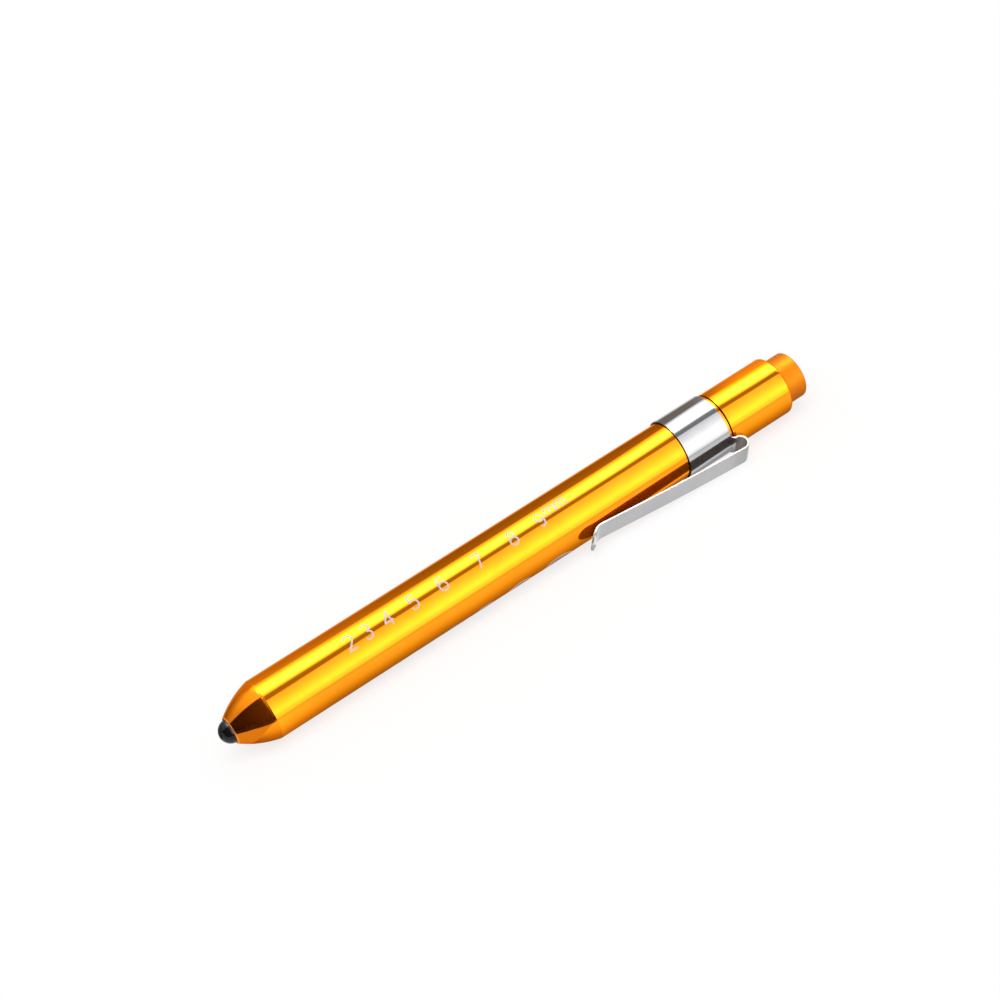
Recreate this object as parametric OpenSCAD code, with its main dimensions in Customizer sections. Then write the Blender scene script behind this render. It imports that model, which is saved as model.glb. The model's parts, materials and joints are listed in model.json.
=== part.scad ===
// Pocket penlight with a pupil gauge: a tube with a rounded nose and a 5 mm lamp, a wrapped
// pocket clip, a screw-on tail cap with a click switch, and two cells in line.
// The pen lies along X with its nose towards -X, and the centre of the button's flat end is
// the origin. It lies on its clip: the band and the fold's corner touch one level floor.

/* [Cells] */
// Diameter of a cell over its jacket
cell_d = 10.3; // [8:0.1:14.5]
// Length of a cell from nub to base
cell_len = 44.5; // [30:0.5:52]
// Diameter of the nub
nub_d = 3.8; // [2:0.1:5]
// Height of the nub
nub_h = 0.9; // [0.6:0.1:2]
// Wall of the steel can
can_wall = 0.25; // [0.2:0.05:0.5]
// Thickness of the jacket
jacket_t = 0.1; // [0.05:0.01:0.3]
// Width of the seal between can and base cap
seal_w = 1.2; // [0.6:0.1:2]
// Depth of the seal behind the base cap
seal_len = 1.1; // [0.5:0.1:3]
// Thickness of the base cap
base_cap_t = 0.8; // [0.4:0.1:1.5]

/* [Barrel] */
// Wall of the barrel
barrel_wall = 1.1; // [0.9:0.05:2]
// Length of the nose from its rim to the shoulder
nose_len = 7.8; // [6.5:0.1:12]
// Radius of the curve along the nose's side
nose_curve_r = 20; // [14:1:60]
// Wall of the nose at its rim
rim_wall = 0.22; // [0.15:0.01:0.8]
// Length of the collar that shows behind the clip's band
collar_len = 0.65; // [0.3:0.05:4]
// Length of the spigot that the tail cap screws on to
spigot_len = 6; // [4:0.5:10]
// Wall of the spigot
spigot_wall = 0.35; // [0.25:0.05:0.5]

/* [Lamp] */
// Diameter of the lamp's body and dome
led_d = 5; // [3:0.1:6]
// Length of the lamp from base to dome tip
led_len = 8.6; // [6:0.1:12]
// Width of the flange round the lamp's base
led_flange_w = 0.4; // [0.2:0.05:0.8]
// Length of the flange
led_flange_len = 1; // [0.6:0.1:1.5]
// How far the lamp's base sits in front of the shoulder
led_set = 1.5; // [0.5:0.1:3]
// Distance between the two leads
lead_pitch = 2.54; // [1.8:0.02:3]
// Thickness of a lead
lead_t = 0.5; // [0.3:0.05:0.6]
// Length of the posts inside the lamp
post_len = 3.2; // [2.5:0.1:4.5]
// Height of the cup's block on the longer post
anvil_h = 1; // [0.8:0.1:1.5]
// Radius of the cup's mouth
cup_r = 0.45; // [0.3:0.05:0.5]
// Depth of the cup
cup_depth = 0.4; // [0.3:0.05:0.5]
// Side of the square chip
chip_w = 0.36; // [0.2:0.02:0.4]
// Thickness of the chip
chip_t = 0.15; // [0.1:0.01:0.25]
// Length of the lamp holder behind the shoulder
holder_len = 7.8; // [5:0.1:20]
// How far behind the shoulder the shorter lead turns out to the barrel
foot_set = 3.4; // [1:0.1:4]
// Diameter of the front contact disc
contact_d = 6; // [5:0.1:8]
// Thickness of the front contact disc
contact_t = 0.8; // [0.5:0.1:1.5]
// How far the front contact stands out of its holder
contact_proud = 0.2; // [0.1:0.05:0.4]

/* [Clip] */
// Thickness of the clip's sheet
sheet = 0.4; // [0.3:0.05:0.8]
// Length of the band round the barrel
band_len = 10.85; // [6:0.05:20]
// Width of the arm
arm_w = 5.2; // [3:0.1:7]
// From the band's rear edge forward to where the arm is nearest the barrel
arm_reach = 33.35; // [22:0.05:60]
// Height of the fold behind the band
fold_h = 3.55; // [2.5:0.05:5]
// How far behind the band the fold's centre lies
fold_back = 0.85; // [0.6:0.05:3]
// Radius of the turned-out lip, on the barrel's side
lip_r = 6.5; // [4:0.1:12]
// Angle that the lip turns through from its lowest point
lip_sweep = 57; // [30:1:75]
// Gap from the clip to the barrel and the tail cap
clip_gap = 0.12; // [0.05:0.01:0.5]
// Greatest angle that the arm springs out
clip_flex = 5; // [2:0.5:8]

/* [Tail] */
// Gap that shows between barrel and tail cap
seam = 0.3; // [0.1:0.05:1]
// Rounding of the tail cap's rear edge
cap_round = 0.6; // [0.2:0.05:0.9]
// Length of the lip that keeps the button in the cap
cap_lip = 2; // [1:0.1:4]
// Step in the cap that the switch seats on
seat_step = 0.25; // [0.1:0.05:0.6]
// How far the button stands out of the cap
button_proud = 4.95; // [3.5:0.05:9]
// Travel of the button
button_travel = 2.5; // [1:0.1:3]
// Wall of the button
button_wall = 1; // [0.6:0.1:1.6]
// Thickness of the button's end
button_end_t = 1.2; // [0.8:0.1:2]
// Rounding of the button's rear edge
button_round = 0.5; // [0.1:0.05:0.8]
// Width of the flange that keeps the button in
button_flange_w = 0.3; // [0.2:0.05:0.5]
// Length of that flange
button_flange_len = 1; // [0.5:0.1:2]
// Room left in front of the button when it is pressed
press_stop = 1.25; // [0.3:0.05:3]

/* [Switch] */
// Length of the battery spring
battery_spring_len = 6.2; // [4:0.1:12]
// Wire of the battery spring
battery_wire = 0.6; // [0.4:0.05:0.8]
// Turns of the battery spring
battery_turns = 4; // [3:0.5:6]
// Diameter of the battery spring over the wire's middle
battery_coil_d = 6; // [3:0.1:7]
// Thickness of the battery contact's head
rivet_head = 0.6; // [0.4:0.1:1]
// Diameter of the battery contact's shank
rivet_d = 2; // [1:0.1:3]
// Thickness of the battery contact's inner head
rivet_in = 0.5; // [0.3:0.1:1]
// Thickness of the housing's front wall
front_wall = 1.2; // [0.8:0.1:2]
// Length of the housing inside the barrel
snout_len = 15.3; // [15:0.1:30]
// Wall of the housing
housing_wall = 1.25; // [1:0.05:1.4]
// Length of the housing's flange in the cap
flange_len = 2; // [1:0.1:4]
// Length of the retaining ring
retainer_len = 1; // [0.8:0.1:2]
// Gap from the spigot's end to the retaining ring
end_gap = 0.4; // [0.2:0.05:1]
// Thickness of the side contact's strip
strip_t = 0.3; // [0.2:0.05:0.4]
// Width of the side contact's strip
strip_w = 2; // [1:0.1:2.5]
// Gap between the open contacts with the button pressed
contact_gap = 0.2; // [0.1:0.05:0.5]
// Thickness of the contact disc
disc_t = 0.5; // [0.3:0.1:1]
// Length of the return spring
return_spring_len = 5.4; // [5:0.1:8]
// Wire of the return spring
return_wire = 0.4; // [0.3:0.05:0.5]
// Turns of the return spring
return_turns = 5; // [3:0.5:5.5]
// Height of the ribs in the housing
rib_h = 1.1; // [0.8:0.05:1.3]
// Angle that one rib fills
rib_angle = 35; // [20:1:36]
// Angle that one rotor lug fills
lug_angle = 20; // [12:1:22]
// Turn of the rotor for one press
rotor_turn = 22.5; // [15:0.5:25]
// Length of the rotor
rotor_len = 3; // [2:0.1:4]
// Length of the rotor's pin through the disc
rotor_pin_len = 2; // [1:0.1:2.4]
// Gap from the rotor to the plunger's crown
crown_gap = 0.4; // [0.2:0.05:0.6]
// Length of the plunger's crown
crown_len = 2; // [1:0.1:3]
// Length of the plunger's head in the button
plunger_head_len = 3; // [1:0.1:4]

/* [Clearances] */
// Radial room round a cell in the barrel
cell_room = 0.25; // [0.1:0.05:0.4]
// Radial room round the lamp in the nose
led_room = 0.075; // [0.05:0.005:0.15]
// Radial room of pieces that sit still
fit_room = 0.05; // [0.02:0.01:0.1]
// Radial room of the tail cap on its spigot
thread_room = 0.05; // [0.02:0.01:0.1]
// Room round pieces that slide or turn
run_room = 0.1; // [0.05:0.01:0.2]
// Radial room of the housing in the barrel
snout_room = 0.15; // [0.1:0.05:0.3]

/* [Hidden] */
$fn = 96;
eps = 0.01;
over = 1;

// Radii, from the cells outwards
cell_r = cell_d / 2;
bore_r = cell_r + cell_room;
barrel_r = bore_r + barrel_wall;
spigot_r = bore_r + spigot_wall;
cap_bore_r = spigot_r + thread_room;
button_bore_r = cap_bore_r - seat_step;
button_flange_r = button_bore_r - run_room;
button_r = button_flange_r - button_flange_w;
led_r = led_d / 2;
led_bore_r = led_r + led_room;
rim_r = led_bore_r + rim_wall;
led_flange_r = led_r + led_flange_w;
led_seat_r = led_flange_r + fit_room;
band_r = barrel_r + sheet;

// Stations along the pen, from the nose's rim
shoulder = nose_len;
led_base = shoulder - led_set;
led_tip = led_base - led_len;
holder_end = shoulder + holder_len;
contact_face = holder_end + contact_proud;
cells_end = contact_face + 2 * cell_len;
rivet_face = cells_end + battery_spring_len + 2 * run_room;
housing_front = rivet_face + rivet_head;
flange_front = housing_front + snout_len;
seat = flange_front + flange_len;
spigot_end = flange_front - retainer_len - end_gap;
collar_end = spigot_end - spigot_len;
band_rear = collar_end - collar_len;
band_front = band_rear - band_len;
cap_front = collar_end + seam;
button_front = seat + press_stop + button_travel;
lip_face = button_front + button_flange_len + run_room;
cap_rear = lip_face + cap_lip;
button_end = cap_rear + button_proud;

// The clip's side view: x is the station, y the distance from the pen's axis
fold_out = fold_h / 2;
fold_in = fold_out - sheet;
fold_x = band_rear + fold_back;
fold_y = barrel_r + clip_gap + fold_out;
fold_top = fold_y + fold_out;
lip_x = band_rear - arm_reach;
lip_y = barrel_r + clip_gap + lip_r;
arm_span = norm([fold_x - lip_x, lip_y - fold_y]);
arm_slope = asin((fold_in + lip_r) / arm_span) - atan2(lip_y - fold_y, fold_x - lip_x);
arm_len = sqrt(pow(arm_span, 2) - pow(fold_in + lip_r, 2));
// The band and the arm part here, low on the fold, and the gap takes up the arm's flex
split_at = -60;
split_gap = clip_flex + 3;
// The clip points this far below level, so that band and fold touch one floor
clip_tilt = asin(band_r / norm([fold_top, arm_w / 2])) - atan2(arm_w / 2, fold_top);

// The switch's inside
snout_r = bore_r - snout_room;
cavity_r = snout_r - housing_wall;
rib_r = cavity_r - rib_h;
rotor_r = rib_r - 2 * run_room;
lug_r = cavity_r - 2 * run_room;
cavity_front = housing_front + front_wall;
return_start = cavity_front + rivet_in + run_room;
disc_front = return_start + return_spring_len + run_room;
rotor_front = disc_front + disc_t;
rotor_rear = rotor_front + rotor_len;
crown_front = rotor_rear + crown_gap;
strip_z = disc_front - button_travel - contact_gap - strip_t;
strip_out = snout_r - run_room;
strip_in = strip_out - strip_t;
rib_front = strip_z + strip_t + run_room;
tab_r = rotor_r - 2 * run_room;
return_coil_r = tab_r - 2 * run_room - return_wire / 2;
pin_r = return_coil_r - return_wire / 2 - 2 * run_room;
plunger_r = rib_r - 4 * run_room;
socket_r = button_r - button_wall;
socket_end = button_end - button_end_t;

echo(overall_length = button_end - led_tip, barrel_diameter = 2 * barrel_r, button_diameter = 2 * button_r);
echo(clip_tilt = clip_tilt, arm_slope = arm_slope, fold_station = fold_x, fold_height = fold_y);
echo(battery_spring_gap = coil_gap(battery_coil_d / 2, battery_wire, battery_spring_len, battery_turns));
echo(return_spring_gap = coil_gap(return_coil_r, return_wire, return_spring_len, return_turns));

// Turns a piece built along +Z from the nose's rim into the pen's place along X
module lay() {
    rotate([0, 90, 0]) translate([0, 0, -button_end]) children();
}

// A rod, or a ring, between two stations
module rod(r, from, to) {
    translate([0, 0, from]) cylinder(r = r, h = to - from);
}

module ring(r_out, r_in, from, to) {
    difference() {
        rod(r_out, from, to);
        rod(r_in, from - over, to + over);
    }
}

// A rod with its rear edge rounded
module rounded_rod(r, from, to, edge) {
    translate([0, 0, from]) rotate_extrude() difference() {
        square([r, to - from]);
        translate([r - edge, to - from - edge]) difference() {
            square(edge + over);
            circle(r = edge);
        }
    }
}

// A wedge of a disc, centred on an angle
module wedge(r_out, r_in, angle, from, to) {
    translate([0, 0, from]) linear_extrude(to - from) intersection() {
        difference() {
            circle(r = r_out);
            circle(r = r_in);
        }
        polygon([[0, 0], for (s = [-1, 0, 1]) 2 * r_out * [cos(s * angle / 2), sin(s * angle / 2)]]);
    }
}

// The middle of a coil's wire, and the least gap between its turns
coil_rings = 8;
coil_sides = 6;
function coil_point(r, wire, len, turns, i) =
    [r * cos(360 * i / coil_rings), r * sin(360 * i / coil_rings),
     wire / 2 + (len - wire) * i / (turns * coil_rings)];
function coil_gap(r, wire, len, turns) =
    min([for (i = [0 : turns * coil_rings - coil_rings])
        norm(coil_point(r, wire, len, turns, i + coil_rings) - coil_point(r, wire, len, turns, i))]) - wire;

// One unbroken wire wound into a coil
module coil(r, wire, len, turns) {
    last = turns * coil_rings;
    points = [for (i = [0 : last], k = [0 : coil_sides - 1])
        let (a = 360 * i / coil_rings, b = 360 * k / coil_sides)
        coil_point(r, wire, len, turns, i)
            + wire / 2 * [cos(b) * cos(a), cos(b) * sin(a), sin(b)]];
    sides = [for (i = [0 : last - 1], k = [0 : coil_sides - 1], half = [0, 1])
        let (p = i * coil_sides + k, q = i * coil_sides + (k + 1) % coil_sides)
        half == 0 ? [p, q, q + coil_sides] : [p, q + coil_sides, p + coil_sides]];
    ends = [for (k = [1 : coil_sides - 2], end = [0, last * coil_sides])
        end == 0 ? [0, k + 1, k] : [end, end + k, end + k + 1]];
    polyhedron(points, concat(sides, ends));
}

// The tube: a curved nose, a straight body and the spigot for the tail cap
module barrel() {
    chord = [barrel_r - rim_r, nose_len];
    rise = sqrt(pow(nose_curve_r, 2) - pow(norm(chord) / 2, 2));
    centre = [(barrel_r + rim_r) / 2, nose_len / 2] + rise * [-chord.y, chord.x] / norm(chord);
    color("goldenrod") lay() difference() {
        union() {
            rotate_extrude() intersection() {
                translate(centre) circle(r = nose_curve_r, $fn = 360);
                square([barrel_r, nose_len]);
            }
            rod(barrel_r, shoulder, collar_end);
            rod(spigot_r, collar_end - eps, spigot_end);
        }
        rod(led_bore_r, -over, shoulder);
        rod(led_seat_r, led_base - led_flange_len, shoulder + eps);
        rod(bore_r, shoulder, spigot_end + over);
    }
}

// The lamp's lead with the cup: a post, the cup's block, and a foot turned out to the barrel
module led_cathode() {
    side = lead_pitch / 2;
    top = led_base - post_len;
    color("silver") lay() difference() {
        union() {
            translate([-lead_t / 2, -side - lead_t / 2, top]) cube([lead_t, lead_t, shoulder + foot_set - top]);
            translate([-cup_r - run_room, -side - lead_t / 2, top])
                cube([2 * (cup_r + run_room), side + lead_t / 2 + cup_r + run_room, anvil_h]);
            translate([-lead_t / 2, -bore_r + fit_room, shoulder + foot_set - lead_t])
                cube([lead_t, bore_r - fit_room - side + lead_t / 2, lead_t]);
        }
        translate([0, 0, top - eps]) cylinder(r1 = cup_r, r2 = cup_r * 0.75, h = cup_depth + eps);
    }
}

module led_anode() {
    color("silver") lay() translate([-lead_t / 2, lead_pitch / 2 - lead_t / 2, led_base - post_len])
        cube([lead_t, lead_t, post_len + led_set + holder_len - fit_room]);
}

module led_chip() {
    color("khaki") lay() translate([-chip_w / 2, -chip_w / 2, led_base - post_len + cup_depth - chip_t])
        cube([chip_w, chip_w, chip_t]);
}

// The lamp's moulded body round its posts, cup and chip
module led_lens() {
    color("dimgray") difference() {
        lay() {
            rod(led_r, led_tip + led_r, led_base);
            rod(led_flange_r, led_base - led_flange_len, led_base);
            translate([0, 0, led_tip + led_r]) sphere(r = led_r);
        }
        led_cathode();
        led_anode();
        led_chip();
    }
}

// Plastic bush behind the lamp, with passages for its leads
module led_holder() {
    side = lead_pitch / 2;
    way = lead_t + 2 * fit_room;
    foot_z = shoulder + foot_set - lead_t - fit_room;
    color("whitesmoke") lay() difference() {
        union() {
            rod(led_seat_r - fit_room, led_base, shoulder + eps);
            rod(bore_r - fit_room, shoulder, holder_end);
        }
        translate([-way / 2, side - way / 2, led_base - over]) cube([way, way, holder_end - led_base + 2 * over]);
        translate([-way / 2, -side - way / 2, led_base - over]) cube([way, way, foot_z + way - led_base + over]);
        translate([-way / 2, -bore_r - over, foot_z]) cube([way, bore_r + over - side, way]);
        rod(contact_d / 2 + fit_room, contact_face - contact_t, holder_end + over);
    }
}

module front_contact() {
    hole_r = lead_t * 0.75;
    color("gold") lay() difference() {
        rod(contact_d / 2, contact_face - contact_t, contact_face);
        translate([0, lead_pitch / 2, contact_face - contact_t - over]) cylinder(r = hole_r, h = contact_t + 2 * over);
    }
}

// One cell, nub forward, as five pieces between its own stations
can_r = cell_r - jacket_t;
can_in_r = can_r - can_wall;
base_cap_r = can_in_r - seal_w;
base_cap_z = cell_len - base_cap_t;
seal_z = base_cap_z - seal_len;
rim_z = cell_len - 0.3 * base_cap_t;

module cell_place(index) {
    lay() translate([0, 0, contact_face + index * cell_len]) children();
}

module cell_can(index) {
    color("lightgray") cell_place(index) difference() {
        union() {
            rod(nub_d / 2, 0, nub_h + eps);
            rod(can_r, nub_h, rim_z);
        }
        rod(can_in_r, nub_h + can_wall, rim_z + over);
    }
}

module cell_core(index) {
    color("dimgray") cell_place(index) rod(can_in_r, nub_h + can_wall, seal_z);
}

module cell_seal(index) {
    color("steelblue") cell_place(index) difference() {
        rod(can_in_r, seal_z, rim_z);
        rod(base_cap_r, base_cap_z, rim_z + over);
    }
}

module cell_base(index) {
    color("silver") cell_place(index) rod(base_cap_r, base_cap_z, cell_len);
}

module cell_jacket(index) {
    color("slategray") cell_place(index) ring(cell_r, can_r, nub_h, rim_z);
}

module front_cell_can() { cell_can(0); }
module front_cell_core() { cell_core(0); }
module front_cell_seal() { cell_seal(0); }
module front_cell_base() { cell_base(0); }
module front_cell_jacket() { cell_jacket(0); }
module rear_cell_can() { cell_can(1); }
module rear_cell_core() { cell_core(1); }
module rear_cell_seal() { cell_seal(1); }
module rear_cell_base() { cell_base(1); }
module rear_cell_jacket() { cell_jacket(1); }

// Puts the clip's side view in its place round the pen, with a width
module clip_strip(width) {
    translate([-button_end, 0, 0]) rotate([180 + clip_tilt, 0, 0]) linear_extrude(width, center = true) children();
}

// The part of the fold's ring between two angles, counted from straight back
module fold_part(from, to) {
    translate([fold_x, fold_y]) intersection() {
        difference() {
            circle(r = fold_out);
            circle(r = fold_in);
        }
        polygon([[0, 0], for (i = [0 : 4]) 2 * fold_out * [cos(from + (to - from) * i / 4), sin(from + (to - from) * i / 4)]]);
    }
}

module clip_band() {
    color("silver") {
        lay() ring(band_r, barrel_r, band_front, band_rear);
        clip_strip(arm_w) {
            translate([band_rear - sheet, barrel_r + clip_gap]) square([fold_back + sheet, sheet]);
            fold_part(-90 - eps, split_at - split_gap / 2);
        }
    }
}

// The lip's ring between the arm and its tip, then the arm, then the fold
module clip_profile() {
    translate([lip_x, lip_y]) intersection() {
        difference() {
            circle(r = lip_r);
            circle(r = lip_r - sheet);
        }
        polygon([[0, 0], for (i = [0 : 4]) let (a = 270 + arm_slope - (lip_sweep + arm_slope) * i / 4)
            2 * lip_r * [cos(a), sin(a)]]);
    }
    translate([fold_x, fold_y]) rotate(90 + arm_slope) translate([fold_in, -eps]) square([sheet, arm_len + 2 * eps]);
    fold_part(split_at + split_gap / 2, 90 + arm_slope + eps);
}

// The arm's tip is cut to a half round, square to the lip where the rounding starts
module clip_arm() {
    tip_angle = 270 - lip_sweep + asin(arm_w / 2 / lip_r);
    color("silver") difference() {
        clip_strip(arm_w) clip_profile();
        translate([-button_end, 0, 0]) rotate([180 + clip_tilt, 0, 0])
            translate([lip_x + lip_r * cos(tip_angle), lip_y + lip_r * sin(tip_angle), 0])
            rotate([0, 0, tip_angle - 270]) rotate([90, 0, 0]) translate([0, 0, -lip_r / 2])
            difference() {
                translate([-lip_r, -arm_w, 0]) cube([lip_r, 2 * arm_w, lip_r]);
                translate([0, 0, -over]) cylinder(r = arm_w / 2, h = lip_r + 2 * over);
            }
    }
}

module tail_cap() {
    color("goldenrod") lay() difference() {
        rounded_rod(barrel_r, cap_front, cap_rear, cap_round);
        rod(cap_bore_r, cap_front - over, seat);
        rod(button_bore_r, seat - eps, lip_face);
        rod(button_r + run_room, lip_face - eps, cap_rear + over);
    }
}

module push_button() {
    color("orange") lay() difference() {
        union() {
            rounded_rod(button_r, button_front, button_end, button_round);
            rod(button_flange_r, button_front, button_front + button_flange_len);
        }
        rod(socket_r, button_front - over, socket_end);
    }
}

module battery_spring() {
    color("silver") lay() translate([0, 0, cells_end + run_room])
        coil(battery_coil_d / 2, battery_wire, battery_spring_len, battery_turns);
}

// Rivet through the housing's front wall
module battery_contact() {
    head_r = battery_coil_d / 2 + battery_wire / 2;
    color("gold") lay() {
        rod(head_r, rivet_face, housing_front);
        rod(rivet_d / 2, housing_front - eps, cavity_front + eps);
        rod(return_coil_r + return_wire / 2, cavity_front, cavity_front + rivet_in);
    }
}

// The side contact's strip, grown by some room when it is cut from the housing
module strip(room) {
    foot_r = cap_bore_r - thread_room;
    translate([tab_r - room, -strip_w / 2 - room, strip_z - room])
        cube([strip_out - tab_r + 2 * room, strip_w + 2 * room, strip_t + 2 * room]);
    translate([strip_in - room, -strip_w / 2 - room, strip_z - room])
        cube([strip_t + 2 * room, strip_w + 2 * room, flange_front + strip_t - strip_z + 2 * room]);
    translate([strip_in - room, -strip_w / 2 - room, flange_front])
        cube([foot_r - strip_in - fit_room + 2 * room, strip_w + 2 * room, strip_t + room]);
}

module side_contact() {
    color("gold") lay() strip(0);
}

// Plastic body of the switch, with four ribs that guide the plunger and the rotor
module switch_housing() {
    color("#303030") lay() difference() {
        union() {
            ring(snout_r, cavity_r, housing_front, seat);
            ring(cap_bore_r - fit_room, snout_r - eps, flange_front, seat);
            ring(snout_r - eps, rivet_d / 2, housing_front, cavity_front);
            for (i = [0 : 3]) rotate(90 * i) wedge(cavity_r + eps, rib_r, rib_angle, rib_front, seat);
        }
        strip(fit_room);
        translate([strip_in - fit_room, -strip_w / 2 - fit_room, strip_z - fit_room])
            cube([snout_r - strip_in + over, strip_w + 2 * fit_room, flange_front - strip_z + fit_room]);
    }
}

// Ring that holds the switch against its seat, with two slots for a spanner
module switch_retainer() {
    slot = retainer_len / 2;
    color("gold") lay() difference() {
        ring(cap_bore_r - fit_room, snout_r + fit_room, flange_front - retainer_len, flange_front);
        translate([-slot, -cap_bore_r, flange_front - retainer_len - over]) cube([2 * slot, 2 * cap_bore_r, over + slot]);
    }
}

module return_spring() {
    color("silver") lay() translate([0, 0, return_start]) coil(return_coil_r, return_wire, return_spring_len, return_turns);
}

module contact_disc() {
    color("gold") lay() ring(rotor_r, pin_r + fit_room, disc_front, rotor_front);
}

// Cam that turns a step for each press: its lugs have slanted rear faces
module switch_rotor() {
    slant = 20;
    color("ivory") lay() {
        rod(rotor_r, rotor_front, rotor_rear);
        rod(pin_r, rotor_front - rotor_pin_len, rotor_front + eps);
        for (i = [0 : 3]) rotate(90 * i + 45 - rotor_turn / 2) difference() {
            wedge(lug_r, rotor_r - run_room, lug_angle, rotor_front, rotor_rear);
            translate([0, 0, rotor_rear]) rotate([slant, 0, 0]) translate([0, -lug_r, 0]) cube(2 * lug_r);
        }
    }
}

// Crown in the ribs' slots, a shaft, and a head in the button
module switch_plunger() {
    color("ivory") lay() {
        rod(rotor_r, crown_front, crown_front + crown_len);
        for (i = [0 : 3]) rotate(90 * i + 45)
            wedge(lug_r, rotor_r - run_room, lug_angle, crown_front, crown_front + crown_len);
        rod(plunger_r, crown_front + eps, socket_end);
        rod(socket_r - fit_room, socket_end - plunger_head_len, socket_end);
    }
}

barrel();
clip_band();
clip_arm();
tail_cap();
push_button();
led_lens();
led_anode();
led_cathode();
led_chip();
led_holder();
front_contact();
front_cell_can();
front_cell_core();
front_cell_seal();
front_cell_base();
front_cell_jacket();
rear_cell_can();
rear_cell_core();
rear_cell_seal();
rear_cell_base();
rear_cell_jacket();
battery_spring();
battery_contact();
switch_housing();
side_contact();
switch_retainer();
return_spring();
contact_disc();
switch_rotor();
switch_plunger();
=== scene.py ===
# %% [markdown]
# # A gold pocket penlight
# This lesson dresses a imported model of a slim penlight: an anodised tube with a rounded nose, a dark dome
# lamp, a gauge marked along the barrel, a sprung steel clip, a screw-on tail cap and a push button. The
# imported model already has every size, so the first step loads it and keeps its box.

# %% Load the imported model
import json
from math import atan2, cos, hypot, pi, radians, sin, sqrt, tan

import bmesh
import bpy
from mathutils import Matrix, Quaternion, Vector


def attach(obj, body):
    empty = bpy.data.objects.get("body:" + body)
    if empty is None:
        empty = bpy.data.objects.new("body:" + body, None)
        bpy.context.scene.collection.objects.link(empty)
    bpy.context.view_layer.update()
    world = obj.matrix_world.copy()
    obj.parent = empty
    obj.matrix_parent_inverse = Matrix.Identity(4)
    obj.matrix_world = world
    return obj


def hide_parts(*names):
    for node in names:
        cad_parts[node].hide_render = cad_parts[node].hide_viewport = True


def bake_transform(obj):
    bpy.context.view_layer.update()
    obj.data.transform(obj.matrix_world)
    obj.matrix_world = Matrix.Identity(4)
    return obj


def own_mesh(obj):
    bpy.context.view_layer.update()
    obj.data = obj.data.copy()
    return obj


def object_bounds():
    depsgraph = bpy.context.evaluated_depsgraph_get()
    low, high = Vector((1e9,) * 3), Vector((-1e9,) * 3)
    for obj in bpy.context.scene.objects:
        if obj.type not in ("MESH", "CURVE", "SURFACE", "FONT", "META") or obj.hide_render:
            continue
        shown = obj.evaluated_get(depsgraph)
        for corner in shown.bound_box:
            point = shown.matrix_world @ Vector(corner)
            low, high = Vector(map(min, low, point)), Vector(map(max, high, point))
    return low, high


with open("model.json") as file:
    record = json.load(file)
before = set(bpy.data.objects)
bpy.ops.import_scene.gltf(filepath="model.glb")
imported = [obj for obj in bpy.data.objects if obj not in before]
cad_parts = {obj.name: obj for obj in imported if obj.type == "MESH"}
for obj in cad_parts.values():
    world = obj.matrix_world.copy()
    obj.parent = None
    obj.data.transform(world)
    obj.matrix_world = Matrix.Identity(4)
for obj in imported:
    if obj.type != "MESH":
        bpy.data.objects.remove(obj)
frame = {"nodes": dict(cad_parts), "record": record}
packed_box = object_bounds()
scene = bpy.context.scene
MM = 0.001
print("packed box in mm:", [[round(v / MM, 2) for v in corner] for corner in packed_box])

# %% [markdown]
# ## Where we look from
# The pen lies on a white table with its nose to the lower left, seen from above and a little from the
# nose end. The camera is placed by angles round the pen, a distance and a roll, so a reader can change
# one at a time.


# %% Camera
def add_object(name, data):
    """Puts data into the scene as an object."""
    thing = bpy.data.objects.new(name, data)
    scene.collection.objects.link(thing)
    return thing


LOOK_AT = Vector((-69.73, 5.794, 8.2)) * MM
AZIMUTH = radians(-22.525)
ELEVATION = radians(33.132)
ROLL = radians(19.3145)
CAMERA_DISTANCE = 482.79 * MM

level_share = cos(ELEVATION)
away = Vector((sin(AZIMUTH) * level_share, -cos(AZIMUTH) * level_share, sin(ELEVATION)))
camera = add_object("camera", bpy.data.cameras.new("camera"))
camera.data.lens = 86.4
camera.data.sensor_width = 36
camera.data.clip_start = 0.01
camera.rotation_mode = "QUATERNION"
camera.rotation_quaternion = (-away).to_track_quat("-Z", "Y") @ Quaternion((0, 0, 1), -ROLL)
camera.location = LOOK_AT + away * CAMERA_DISTANCE
scene.camera = camera
scene.view_settings.view_transform = "Standard"
print("camera stands at, mm:", [round(v / MM, 1) for v in camera.location])

# %% [markdown]
# ## Small helpers for nodes
# Every finish and every tree below is a few nodes joined by links. One helper fills a node's sockets,
# each with a plain value or with a link from another node. Two more add a node and return it, or only
# its first output, so each step reads as one line.


# %% Node helpers
def set_sockets(tree, node, sockets):
    """Fills a node's sockets with plain values, or with links from other nodes."""
    for key, value in sockets.items():
        if isinstance(value, bpy.types.NodeSocket):
            tree.links.new(value, node.inputs[key])
        else:
            node.inputs[key].default_value = value


def add_node(tree, kind, sockets=None, **properties):
    """Adds a node, sets its properties and fills its sockets."""
    node = tree.nodes.new(kind)
    for name, value in properties.items():
        setattr(node, name, value)
    set_sockets(tree, node, sockets or {})
    return node


def add_step(tree, kind, sockets=None, **properties):
    """Adds a node and returns its first output."""
    return add_node(tree, kind, sockets, **properties).outputs[0]


# %% [markdown]
# ## Effects for the finishes
# Turned metal keeps very fine rings round its axis; anything that is handled gets patches that are a
# little duller; and dyed metal has a few tiny pits. Each is a node group with named inputs, so a finish
# that uses one sets its own amounts. The dull patches go into most finishes, the rings and the pits into
# the gold alone.


# %% Effect helpers
def spread(tree, value, low, high, to_low, to_high):
    """Carries a value from one range to another, and holds it there."""
    limits = {"Value": value, "From Min": low, "From Max": high, "To Min": to_low, "To Max": to_high}
    return add_step(tree, "ShaderNodeMapRange", limits)


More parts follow.
